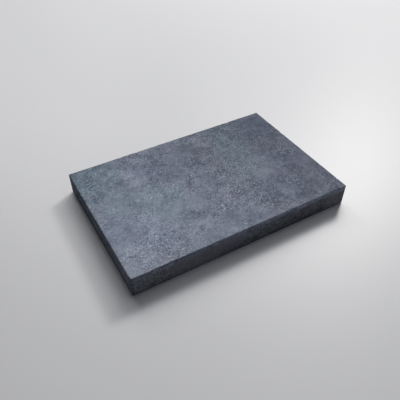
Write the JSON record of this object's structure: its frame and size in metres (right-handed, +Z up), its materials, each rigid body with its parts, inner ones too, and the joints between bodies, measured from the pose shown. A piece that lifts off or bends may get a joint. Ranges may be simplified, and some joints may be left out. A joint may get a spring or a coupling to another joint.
{
  "type": "basalt massage stone",
  "caption": "Flat rectangular slab of dark grey basalt with a honed working face and eased edges, warmed and laid on the body in hot stone massage.",
  "frame": {"origin": "middle of the resting face, on the surface that the stone lies on", "axes": "+X along the length, +Y across the width, +Z up out of the honed working face"},
  "size_m": [0.15, 0.1, 0.015],
  "materials": {
    "basalt": "fine-grained dark grey basalt, honed on the working face, sawn on the sides and the resting face"
  },
  "bodies": {
    "root": {"basalt_slab": "basalt"}
  },
  "joints": []
}
